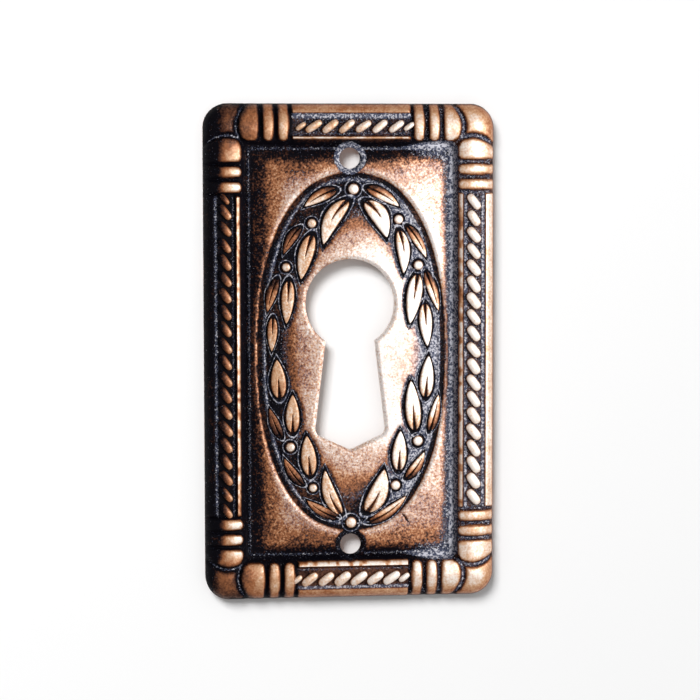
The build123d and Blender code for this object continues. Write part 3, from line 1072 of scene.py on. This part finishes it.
def rope_tree():
    """Lays of rope along lines: each is a long swell, turned from the run of the rope."""
    inputs = {"Pitch": "Float", "Lean": "Float", "Lay size": "Vector", "Seed": "Int", "Finish": "Material"}
    group = new_tree("Rope border", inputs)
    t = Tree(group)
    given = t.add("NodeGroupInput").outputs
    place = t.place()
    tangent = t.out("GeometryNodeInputTangent")
    curve = t.out("GeometryNodeMeshToCurve", {"Mesh": given["Geometry"]})
    points = t.out("GeometryNodeResampleCurve", {"Curve": curve, "Length": given["Pitch"]}, mode="LENGTH")

    # The level bars and the left bar's top end in a half lay, drawn in from the ribs
    factor = t.out("GeometryNodeSplineParameter", output="Factor")
    on_level = t.math("GREATER_THAN", t.math("ABSOLUTE", place["Y"]), 0.02)
    on_left = t.math("LESS_THAN", place["X"], -0.01)
    first = t.product(t.math("LESS_THAN", factor, 0.01), t.math("MAXIMUM", on_level, on_left))
    last = t.product(t.math("GREATER_THAN", factor, 0.99), on_level)
    ends = t.math("ADD", first, last)
    inward = t.product(t.math("SUBTRACT", first, last), HALF_LAY_SHIFT)
    drawn_in = t.out("ShaderNodeVectorMath", {0: tangent, "Scale": inward}, operation="SCALE")
    spaced = t.move(points, drawn_in)

    # One lay: a ball drawn out and squared off, whose rubbing falls from its crown to its foot
    ball = t.out("GeometryNodeMeshUVSphere", {"Segments": 20, "Rings": 14})
    rubbed = t.keep(ball, "rub", t.span(place["Z"], 0.12, 0.36, 0.22, 1.0))
    lift = t.math("SUBTRACT", t.math("POWER", t.math("ABSOLUTE", place["Z"]), 0.4), place["Z"])
    squares = [t.math("POWER", place[way], 2.0) for way in "XY"]
    far = t.math("MAXIMUM", t.math("SQRT", t.math("ADD", *squares)), 0.001)
    shares = [t.math("ABSOLUTE", t.math("DIVIDE", place[way], far)) for way in "XY"]
    cubes = [t.math("POWER", share, 3.0) for share in shares]
    fullness = t.math("POWER", t.math("MAXIMUM", t.math("ADD", *cubes), 0.5), -1.0 / 3.0)
    fuller = t.math("SUBTRACT", fullness, 1.0)
    raised = t.vector(
        X=t.product(place["X"], fuller),
        Y=t.product(place["Y"], fuller),
        Z=t.product(lift, t.math("GREATER_THAN", place["Z"], 0.0)),
    )
    shaped = t.move(rubbed, raised)
    lay = t.out("GeometryNodeTransform", {"Geometry": shaped, "Scale": given["Lay size"]})

    # Turned along the run and then by the lean, with small differences from lay to lay
    along = t.out("FunctionNodeAlignRotationToVector", {"Vector": tangent}, axis="X", pivot_axis="Z")
    sway = {2: -LAY_SWAY, 3: LAY_SWAY, "Seed": given["Seed"]}
    sway = t.out("FunctionNodeRandomValue", sway, 1, data_type="FLOAT")
    lean = t.spin(t.math("ADD", given["Lean"], sway))
    turned = t.out("FunctionNodeRotateRotation", {0: along, 1: lean}, rotation_space="LOCAL")
    size = {0: (0.92, 0.9, 0.93), 1: (1.04, 1.06, 1.03), "Seed": given["Seed"]}
    size = t.out("FunctionNodeRandomValue", size, data_type="FLOAT_VECTOR")
    at_right = t.span(place["X"], 0.011, 0.0135, 0.0, 1.0)
    at_bottom = t.span(place["Y"], -0.020, -0.024, 0.0, 1.0)
    broad = t.span(t.math("MAXIMUM", at_right, at_bottom), 0.0, 1.0, 0.82, 1.0)
    whole = t.span(ends, 0.0, 1.0, 1.0, HALF_LAY_SIZE)
    slimmer = t.vector(
        X=t.product(t.span(at_bottom, 0.0, 1.0, 1.04, 1.1), whole),
        Y=t.product(broad, whole),
        Z=t.span(ends, 0.0, 1.0, 1.0, 0.85),
    )
    fitted = t.out("ShaderNodeVectorMath", {0: size, 1: slimmer}, operation="MULTIPLY")
    copies = {"Points": spaced, "Instance": lay, "Rotation": turned, "Scale": fitted}
    lays = t.real(t.out("GeometryNodeInstanceOnPoints", copies))

    # Painted shade on the left rope, most of all on its outer side, and painted light towards the right and
    # the bottom
    shine = t.span(place["X"], -0.0141, -0.0130, 0.06, 0.76)
    shine = t.math("ADD", shine, t.span(place["X"], -0.008, 0.010, 0.0, 0.24))
    shine = t.math("ADD", shine, t.span(place["Y"], -0.020, -0.024, 0.0, 0.05))
    duller = t.keep(lays, "rub", t.product(t.named("rub"), shine))
    finish_tree(t, t.keep(duller, "calm", 1.0), given["Finish"])
    return group


def finish_tree(t, geometry, material):
    """Makes the copies real, stands them upright with the plate and gives them their finish."""
    upright = {"Geometry": t.real(geometry), "Rotation": (math.radians(90), 0.0, 0.0)}
    upright = t.out("GeometryNodeTransform", upright)
    smooth = t.out("GeometryNodeSetShadeSmooth", {"Geometry": upright})
    dressed = t.out("GeometryNodeSetMaterial", {"Geometry": smooth, "Material": material})
    t.add("NodeGroupOutput", {0: dressed})


def wreath_tree():
    """Leaves and berries on points, each turned and sized by its point, laid on the bed's curve."""
    inputs = {
        "Broad leaf": "Object",
        "Slim leaf": "Object",
        "Berry": "Object",
        "Bed height": "Float",
        "Bed fall": "Float",
        "Bed half width": "Float",
        "Finish": "Material",
    }
    group = new_tree("Laurel wreath", inputs)
    t = Tree(group)
    given = t.add("NodeGroupInput").outputs
    turn = t.named("turn")
    both = t.add("GeometryNodeJoinGeometry")
    for kind, label in enumerate(("Berry", "Slim leaf", "Broad leaf")):
        copies = {
            "Points": given["Geometry"],
            "Selection": t.math("COMPARE", t.named("kind"), float(kind), third=0.1),
            "Instance": t.out("GeometryNodeObjectInfo", {"Object": given[label]}, "Geometry"),
            "Rotation": t.spin(turn),
            "Scale": t.named("size", "FLOAT_VECTOR"),
        }
        t.feed(both.inputs[0], t.out("GeometryNodeInstanceOnPoints", copies))
    real = t.real(both.outputs[0])

    # Painted shade on the half of the slim leaves that lies away from the keyhole, and each leaf's own
    # painted light
    turned_away = t.math("MULTIPLY", t.named("flank"), t.named("outward"), clamp=True)
    kept_bright = t.math("SUBTRACT", 1.0, t.product(turned_away, t.named("dark_half")))
    wear_and_light = t.keep(real, "rub", t.product(t.named("rub"), t.named("shine"), kept_bright))

    # The painted sheen and glints on the lip round a leaf are thin where the lip lies on the rubbed field
    spread = {0: t.out("GeometryNodeInputPosition"), 1: (0.0072, 0.0145, 1.0)}
    spread = t.out("ShaderNodeVectorMath", spread, operation="DIVIDE")
    reach = t.out("ShaderNodeVectorMath", {0: spread}, "Value", operation="LENGTH")
    painted_sheen = t.product(t.named("bare"), t.span(reach, 0.85, 1.1, 0.2, 1.0))
    filmed = t.keep(wear_and_light, "bare", painted_sheen)

    # Leaves bow to one side of the line from base to tip
    along = t.named("along")
    swell = t.product(along, t.math("SUBTRACT", 1.0, along), t.named("bow"))
    sideways = t.product(swell, t.math("SINE", turn), -1.0)
    bowed = t.move(filmed, t.vector(X=sideways, Y=t.product(swell, t.math("COSINE", turn))))

    # Everything rises by the bed's height where it stands
    share = t.math("POWER", t.math("DIVIDE", t.place()["X"], given["Bed half width"]), 2.0)
    level = t.math("SUBTRACT", given["Bed height"], t.product(share, given["Bed fall"]))
    finish_tree(t, t.move(bowed, t.vector(Z=level)), given["Finish"])
    return group


def ringed_mesh(name, rings, count):
    """A mesh from rings of points, the inmost first, each with its place, rubbing mixed with painted light,
    and bareness with painted glints.
    """
    faces = []
    for ring in range(len(rings) - 1):
        for k in range(count):
            a = ring * count + k
            b = ring * count + (k + 1) % count
            faces.append((a, a + count, b + count, b))
    faces.append(tuple(range((len(rings) - 1) * count, len(rings) * count))[::-1])
    points = [point for ring in rings for point in ring]
    mesh = bpy.data.meshes.new(name)
    mesh.from_pydata([place for place, _, _ in points], [], faces)
    store(mesh, "rub", [rub for _, rub, _ in points])
    store(mesh, "bare", [bare for _, _, bare in points])
    store(mesh, "calm", np.full(len(points), 0.8))
    return mesh


# Points round a leaf and round a berry
LEAF_POINTS = 64
BERRY_POINTS = 32

# Rings of a leaf from its vein outwards: share of the way to the outline, height, rubbing, and bareness that
# paints glints on the lip
LEAF_RINGS = (
    (0.0, 1.0, 1.0, 0.0),
    (0.10, 1.0, 1.0, 0.0),
    (0.20, 1.0, 1.0, 0.0),
    (0.32, 1.0, 1.0, 0.0),
    (0.55, 1.0, 1.0, 0.0),
    (0.80, 0.98, 1.0, 0.0),
    (0.92, 0.92, 0.95, 0.0),
    (1.0, 0.70, 0.75, 0.0),
    (1.03, 0.12, 0.05, 0.0),
    (1.16, 0.04, 0.0, 0.0),
    (1.29, 0.10, 0.0, 0.1),
    (1.39, 0.36, 0.05, 1.5),
    (1.49, 0.10, 0.0, 0.1),
    (1.56, -1.0, 0.0, 0.0),
)


def leaf_mesh(name, rise, notch_length, notch_width, base_rub):
    """A flat leaf, one metre long and wide, notched from its base, with a thin lip cut round it."""
    count = LEAF_POINTS
    rings = []
    chance = np.random.default_rng(5)
    for share, height, rub, bare in LEAF_RINGS:
        ring = []
        for k in range(count):
            turn = 2 * math.pi * k / count
            along = 0.5 + 0.5 * math.cos(turn)
            side = leaf_half(along) if turn < math.pi else -leaf_half(along)
            beyond = max(share - 1, 0)
            reach = min(share, 1)
            vein = min(max(along, 0.06), 0.94)
            x = vein + (along - vein) * reach
            y = side * reach
            if beyond:
                end = abs(along - 0.5) * 2
                x += beyond * 0.36 * math.copysign(end**4, along - 0.5)
                y += beyond * (side + math.copysign(0.08, side) * (1 - end))
            opening = notch_width * max(0.0, 1 - x / notch_length)
            cut = 0.0
            if opening > 0 and share < 1.02:
                cut = float(ease(opening + 0.03, max(opening - 0.03, 0.0), abs(y)))
            lip = bare * chance.uniform(0.35, 1.0)
            wear_and_light = rub * (1 - 0.9 * cut) * (base_rub + (1 - base_rub) * float(ease(0.1, 0.5, x)))
            ring.append(((x, y, rise * (height - 0.62 * cut * max(height, 0))), wear_and_light, lip))
        rings.append(ring)
    mesh = ringed_mesh(name, rings, count)
    store(mesh, "along", [place[0] for ring in rings for place, _, _ in ring])
    store(mesh, "flank", [2 * place[1] for ring in rings for place, _, _ in ring])
    return mesh


def berry_mesh(rise):
    """A berry of one metre radius with a worn top, in a small pit with a thin ring round it."""
    # Rings: radius, height, rubbing, and bareness that paints glints on the thin ring
    profile = (
        (0.02, 1.0, 1.0, 0.0),
        (0.45, 0.99, 1.0, 0.0),
        (0.75, 0.94, 0.98, 0.0),
        (0.90, 0.82, 0.90, 0.0),
        (1.0, 0.55, 0.45, 0.0),
        (1.08, 0.05, 0.0, 0.0),
        (1.45, 0.02, 0.0, 0.0),
        (1.62, 0.30, 0.05, 0.6),
        (1.80, 0.02, 0.0, 0.2),
        (1.84, -1.0, 0.0, 0.0),
    )
    count = BERRY_POINTS
    rings = []
    for radius, height, rub, bare in profile:
        ring = []
        for k in range(count):
            turn = -2 * math.pi * k / count
            ring.append(((radius * math.cos(turn), radius * math.sin(turn), rise * height), rub, bare))
        rings.append(ring)
    return ringed_mesh("laurel_berry", rings, count)


# The wreath was cut by hand, so no two sprigs match. Places are in millimetres on the face.
# Broad leaves: base, tip, width, bow and how bright they are, as wear and painted light, dimmer to the left
BROAD_LEAVES = (
    ((1.75, 16.4), (4.0, 12.5), 1.9, 0.5, 1.0),
    ((5.4, 13.2), (5.85, 8.6), 1.4, 0.25, 1.0),
    ((7.4, 8.4), (6.55, 3.1), 1.65, 0.0, 1.0),
    ((8.2, 5.2), (8.5, 0.6), 1.4, 0.0, 1.0),
    ((8.3, -5.0), (8.65, -0.5), 1.5, 0.0, 1.0),
    ((7.1, -8.6), (6.65, -3.2), 1.65, 0.0, 1.0),
    ((5.3, -13.0), (5.5, -8.7), 1.55, 0.0, 0.98),
    ((1.8, -17.5), (3.7, -12.9), 2.0, 0.4, 0.92),
    ((-0.35, 16.5), (-2.95, 11.8), 1.75, 0.5, 0.9),
    ((-4.2, 12.75), (-5.4, 8.0), 1.6, 0.15, 0.8),
    ((-6.7, 7.8), (-7.0, 3.2), 1.35, 0.0, 0.8),
    ((-8.45, 3.8), (-8.6, 0.2), 1.05, 0.0, 0.7),
    ((-7.75, -4.9), (-8.05, -0.75), 1.6, 0.0, 0.72),
    ((-6.35, -8.7), (-6.35, -4.6), 1.45, 0.0, 0.76),
    ((-4.45, -13.4), (-4.85, -9.1), 1.6, 0.0, 0.8),
    ((-1.15, -17.7), (-2.85, -12.9), 1.45, 0.4, 0.84),
)
# Slim leaves of the outer row, in the same way, and how much painted shade darkens their outward half
SLIM_PAINTED_SHADE = 0.75
SLIM_LEAVES = (
    ((1.9, 17.9), (5.3, 15.9), 1.25, 0.2, 0.95),
    ((6.3, 13.7), (8.35, 10.3), 1.05, 0.2, 0.9),
    ((8.35, 8.7), (9.75, 4.5), 1.1, 0.1, 0.95),
    ((8.8, -8.7), (9.75, -4.8), 1.05, 0.1, 0.95),
    ((6.2, -13.9), (8.15, -11.1), 1.1, 0.2, 0.9),
    ((2.1, -18.6), (6.1, -15.9), 1.1, 0.3, 0.85),
    ((-1.6, 17.7), (-4.95, 15.9), 1.25, 0.2, 0.9),
    ((-5.5, 13.6), (-7.25, 10.8), 1.0, 0.2, 0.5),
    ((-8.0, 8.0), (-9.05, 4.5), 1.05, 0.1, 0.55),
    ((-7.6, -9.2), (-8.85, -6.1), 1.0, 0.1, 0.45),
    ((-5.3, -14.4), (-7.25, -11.6), 1.0, 0.2, 0.5),
    ((-1.6, -18.1), (-4.8, -16.2), 1.1, 0.2, 0.62),
)
# Berries: middle and radius
BERRIES = (
    ((0.35, 17.75), 0.58),
    ((5.3, 14.45), 0.5),
    ((7.5, 9.45), 0.52),
    ((7.45, -9.8), 0.55),
    ((4.95, -14.65), 0.52),
    ((0.0, -18.65), 0.6),
    ((-4.2, 14.05), 0.48),
    ((-7.0, 9.3), 0.46),
    ((-6.6, -10.3), 0.5),
    ((-4.15, -14.8), 0.45),
)


# Notch of a leaf for its length: length, half width, and how far the leaf is rubbed at its base
BROAD_NOTCH = (0.46, 0.12, 0.85)
SLIM_NOTCH = (0.8, 0.10, 0.4)


class ESCUTCHEON_OT_plate(bpy.types.Operator):
    """Builds the struck plate with its frame, panel, oval bed, keyhole and pin holes"""

    bl_idname = "escutcheon.plate"
    bl_label = "Struck plate"

    def execute(self, context):
        scene = context.scene
        mesh = plate_mesh(in_millimetres(scene.escutcheon_plate), in_millimetres(scene.escutcheon_keyhole))
        mesh.materials.append(copper_material(scene.escutcheon_finish))
        plate = shown(mesh, "struck_plate")
        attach(plate, "root")
        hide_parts("escutcheon_plate")
        return {"FINISHED"}


# The four ropes, going round against the clock: outward direction of the bar, distance from the edge and
# slip along the bar in millimetres, and how many half lays end it
ROPE_RUNS = (
    ((1, 0), 2.35, 0.16, 0),
    ((0, 1), 2.5, -0.5, 2),
    ((-1, 0), 2.22, 0.0, 1),
    ((0, -1), 2.2, -0.06, 2),
)


class ESCUTCHEON_OT_rope(bpy.types.Operator):
    """Lays the rope border along the four bars of the frame"""

    bl_idname = "escutcheon.rope"
    bl_label = "Rope border"

    def execute(self, context):
        scene = context.scene
        rope = scene.escutcheon_rope
        plate = scene.escutcheon_plate
        points = []
        for (out_x, out_y), inset, slip, half_lays in ROPE_RUNS:
            run = Vector((-out_y, out_x, 0))
            across = out_x * (plate.width / 2 - inset / 1000)
            up = out_y * (plate.height / 2 - inset / 1000)
            middle = Vector((across, up, plate.channel_floor)) + run * slip / 1000
            lays = (rope.upright_lays if out_x else rope.level_lays) + half_lays
            half = ((lays - 1) * rope.pitch + 1e-6) / 2
            points += [middle - run * half, middle + run * half]
        mesh = bpy.data.meshes.new("rope_runs")
        mesh.from_pydata(points, [(0, 1), (2, 3), (4, 5), (6, 7)], [])
        values = {
            "Pitch": rope.pitch,
            "Lean": rope.lean,
            "Lay size": (rope.lay_length / 2, rope.lay_width / 2, rope.lay_rise),
            "Seed": rope.seed,
            "Finish": copper_material(scene.escutcheon_finish),
        }
        lays = settle(shown(mesh, "rope_runs"), rope_tree(), values, "rope_border")
        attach(lays, "root")
        return {"FINISHED"}


class ESCUTCHEON_OT_wreath(bpy.types.Operator):
    """Sets the leaves and berries of the laurel wreath on the oval bed"""

    bl_idname = "escutcheon.wreath"
    bl_label = "Laurel wreath"

    def execute(self, context):
        scene = context.scene
        sizes = scene.escutcheon_wreath
        plate = scene.escutcheon_plate
        mesh = bpy.data.meshes.new("wreath_points")
        marks = []
        for kind, leaves in ((1, SLIM_LEAVES), (2, BROAD_LEAVES)):
            for base, tip, width, bow, shine in leaves:
                run = Vector(tip) - Vector(base)
                outward = outward_side(base, tip)
                turn = math.atan2(run.y, run.x)
                size = (run.length / 1000, width / 1000, 1.0)
                bend = outward * bow * 4 / 1000
                dark_half = SLIM_PAINTED_SHADE if kind == 1 else 0.0
                marks.append((base, kind, turn, size, outward, bend, shine, dark_half))
        for middle, radius in BERRIES:
            # Painted light: the berries on the right are brighter
            wear_and_light = 0.9 + 0.1 * (middle[0] > 0)
            marks.append((middle, 0, 0.0, (radius / 1000, radius / 1000, 1.0), 0, 0.0, wear_and_light, 0.0))
        mesh.from_pydata([(mark[0][0] / 1000, mark[0][1] / 1000, 0.0) for mark in marks], [], [])
        columns = {"kind": 1, "turn": 2, "outward": 4, "bow": 5, "shine": 6, "dark_half": 7}
        for name, column in columns.items():
            store(mesh, name, [mark[column] for mark in marks])
        size = mesh.attributes.new("size", "FLOAT_VECTOR", "POINT")
        size.data.foreach_set("vector", [number for mark in marks for number in mark[3]])
        patterns = {
            "Broad leaf": shown(leaf_mesh("broad_leaf", sizes.leaf_rise, *BROAD_NOTCH), "broad_leaf"),
            "Slim leaf": shown(leaf_mesh("slim_leaf", sizes.slim_rise, *SLIM_NOTCH), "slim_leaf"),
            "Berry": shown(berry_mesh(sizes.berry_rise), "laurel_berry"),
        }
        values = {
            "Bed height": plate.bed_height,
            "Bed fall": plate.bed_fall,
            "Bed half width": plate.wreath_width,
            "Finish": copper_material(scene.escutcheon_finish),
        }
        wreath = settle(shown(mesh, "wreath_points"), wreath_tree(), patterns | values, "laurel_wreath")
        for pattern in patterns.values():
            bpy.data.objects.remove(pattern)
        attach(wreath, "root")
        return {"FINISHED"}


# The paper in millimetres: half its size, how far behind the plate it lies and how far it reaches under it
PAPER_HALF = 600.0
PAPER_GAP = 0.1
PAPER_LAP = 0.15


def paper_material(name, rgb, see_through):
    """White paper. Behind the plate's holes it is clear from the back, so that the holes stay open there."""
    material, t = new_material(name)
    sheet = t.out("ShaderNodeBsdfDiffuse", {"Color": (*rgb, 1.0)})
    behind = t.out("ShaderNodeNewGeometry", output="Backfacing")
    sides = {0: t.product(behind, see_through), 1: sheet, 2: t.out("ShaderNodeBsdfTransparent")}
    t.add("ShaderNodeOutputMaterial", {"Surface": t.out("ShaderNodeMixShader", sides)})
    return material


def sheet_mesh(plate):
    """The sheet of paper, cut out behind the plate so that the plate's back is seen too."""
    inner = []
    for x, z in outline_points(plate, 60.0):
        shrink = 1 - PAPER_LAP / math.hypot(x, z)
        inner.append((x * shrink, z * shrink))
    corners = [(PAPER_HALF * x, PAPER_HALF * z) for x, z in ((-1, -1), (1, -1), (1, 1), (-1, 1))]

    def kept(x, z):
        """Which triangles lie outside the plate's outline, by their middles."""
        return away_from(x, z, inner) > 0

    flat, faces, _ = skin([corners, inner], [], [], kept)
    level = np.full(len(flat), -(plate_high.y * 1000 + PAPER_GAP))
    mesh = bpy.data.meshes.new("paper")
    mesh.from_pydata(on_face(flat, level).tolist(), [], faces.tolist())
    return mesh


def patch_mesh(plate, hole):
    """Patches of the same paper behind the keyhole and the pin holes."""
    y = plate_high.y + PAPER_GAP / 1000
    points = []
    faces = []
    outlines = [[(1.4 * x, 1.15 * z + 0.3) for x, z in keyhole_points(hole)]]
    for rise in (plate.pin_rise, -plate.pin_rise):
        outlines.append(circle_points(0, rise, 1.5 * plate.pin_radius))
    for loop in outlines:
        faces.append(tuple(range(len(points), len(points) + len(loop))))
        points += [(x / 1000, y, z / 1000) for x, z in loop]
    mesh = bpy.data.meshes.new("paper_behind_holes")
    mesh.from_pydata(points, [], faces)
    return mesh


# Lamps: name, place and size in metres, setting of its power, colour, and the collection that it lights
WARM = (1.0, 0.98, 0.95)
WHITE = (1.0, 1.0, 1.0)
LAMPS = (
    ("key_lamp", (0.088, -0.090, 0.012), 0.07, "key_power", WARM, "escutcheon_pieces"),
    ("fill_lamp", (0.24, -0.68, 0.04), 0.26, "fill_power", WHITE, "escutcheon_pieces"),
    ("paper_lamp", (-0.29, -0.60, 0.40), 0.30, "paper_power", WHITE, "papers"),
    ("sky_lamp", (0.0, -0.80, 0.0), 3.0, "sky_power", WHITE, "papers"),
    ("back_lamp", (-0.3, 0.6, 0.3), 0.5, "back_power", WHITE, ""),
)

# What the camera looks at, in metres, and the width of its sensor in millimetres
CAMERA_AIM = (0.00018, 0.0, 0.00012)
SENSOR_WIDTH = 36.0


def area_lamp(name, place, size, power, rgb):
    """A soft square lamp that looks at the middle of the plate."""
    data = bpy.data.lights.new(name, "AREA")
    data.size = size
    data.energy = power
    data.color = rgb
    lamp = bpy.data.objects.new(name, data)
    lamp.location = place
    lamp.rotation_euler = (-Vector(place)).to_track_quat("-Z", "Y").to_euler()
    bpy.context.scene.collection.objects.link(lamp)
    return lamp


class ESCUTCHEON_OT_stage(bpy.types.Operator):
    """Sets up the paper, the lamps, the room's light and the camera"""

    bl_idname = "escutcheon.stage"
    bl_label = "Paper, lamps and camera"

    def execute(self, context):
        scene = context.scene
        studio = scene.escutcheon_studio
        plate = in_millimetres(scene.escutcheon_plate)
        pieces = bpy.data.collections.new("escutcheon_pieces")
        for piece in ("struck_plate", "rope_border", "laurel_wreath"):
            pieces.objects.link(bpy.data.objects[piece])
        papers = bpy.data.collections.new("papers")
        sheet = shown(sheet_mesh(plate), "paper")
        sheet.data.materials.append(paper_material("white_paper", studio.paper, 0.0))
        patch = shown(patch_mesh(plate, in_millimetres(scene.escutcheon_keyhole)), "paper_behind_holes")
        patch.data.materials.append(paper_material("white_paper_behind_holes", studio.paper, 1.0))
        for paper in (sheet, patch):
            papers.objects.link(paper)

        for name, place, size, setting, rgb, lit in LAMPS:
            lamp = area_lamp(name, place, size, getattr(studio, setting), rgb)
            if lit:
                lamp.light_linking.receiver_collection = bpy.data.collections[lit]

        world = bpy.data.worlds.new("room")
        world.use_nodes = True
        background = world.node_tree.nodes["Background"]
        background.inputs["Color"].default_value = (*WHITE, 1.0)
        t = Tree(world.node_tree)
        rays = t.add("ShaderNodeLightPath").outputs
        seen = t.math("MAXIMUM", rays["Is Camera Ray"], rays["Is Glossy Ray"])
        seen = t.math("MAXIMUM", seen, rays["Is Transmission Ray"])
        t.feed(background.inputs["Strength"], t.span(seen, 0.0, 1.0, studio.room, studio.backdrop))
        scene.world = world

        data = bpy.data.cameras.new("camera")
        data.lens = studio.lens
        data.sensor_width = SENSOR_WIDTH
        data.sensor_fit = "HORIZONTAL"
        data.clip_end = 10.0
        camera = bpy.data.objects.new("camera", data)
        flat = math.cos(studio.above)
        across = math.sin(studio.aside) * flat
        away = Vector((across, -math.cos(studio.aside) * flat, math.sin(studio.above)))
        camera.location = Vector(CAMERA_AIM) + studio.distance * away
        look = (-away).to_track_quat("-Z", "Y") @ Quaternion((0.0, 0.0, 1.0), studio.roll)
        camera.rotation_euler = look.to_euler()
        scene.collection.objects.link(camera)
        scene.camera = camera
        scene.view_settings.view_transform = "Standard"
        return {"FINISHED"}


class ESCUTCHEON_PT_sizes(bpy.types.Panel):
    """Lists the sizes and colours of the escutcheon, and the steps that build it"""

    bl_idname = "ESCUTCHEON_PT_sizes"
    bl_label = "Keyhole escutcheon"
    bl_space_type = "VIEW_3D"
    bl_region_type = "UI"
    bl_category = "Escutcheon"

    def draw(self, context):
        for name, heading, _, operator in STEPS:
            box = self.layout.box()
            box.label(text=heading)
            group = getattr(context.scene, name)
            for entry in group.__annotations__:
                box.prop(group, entry)
            if operator:
                box.operator(operator)


# Steps in the panel's order: name on the scene, heading, its settings and the operator that uses them
STEPS = (
    ("escutcheon_plate", "Plate", PlateSizes, "escutcheon.plate"),
    ("escutcheon_keyhole", "Keyhole", KeyholeSizes, ""),
    ("escutcheon_rope", "Rope border", RopeSizes, "escutcheon.rope"),
    ("escutcheon_wreath", "Laurel wreath", WreathSizes, "escutcheon.wreath"),
    ("escutcheon_finish", "Finish", CopperFinish, ""),
    ("escutcheon_studio", "Studio", StudioSettings, "escutcheon.stage"),
)

OPERATORS = (
    ESCUTCHEON_OT_plate,
    ESCUTCHEON_OT_rope,
    ESCUTCHEON_OT_wreath,
    ESCUTCHEON_OT_stage,
    ESCUTCHEON_PT_sizes,
)


def register():
    """Makes the property groups, operators and panel known."""
    for name, _, group, _ in STEPS:
        bpy.utils.register_class(group)
        setattr(bpy.types.Scene, name, PointerProperty(type=group))
    for operator in OPERATORS:
        bpy.utils.register_class(operator)


def unregister():
    """Takes them away again."""
    for operator in reversed(OPERATORS):
        bpy.utils.unregister_class(operator)
    for name, _, group, _ in reversed(STEPS):
        delattr(bpy.types.Scene, name)
        bpy.utils.unregister_class(group)


def main():
    """Builds the escutcheon and its stage."""
    register()
    bpy.ops.escutcheon.plate()
    bpy.ops.escutcheon.rope()
    bpy.ops.escutcheon.wreath()
    bpy.ops.escutcheon.stage()
    bpy.context.view_layer.update()


if __name__ == "__main__":
    main()
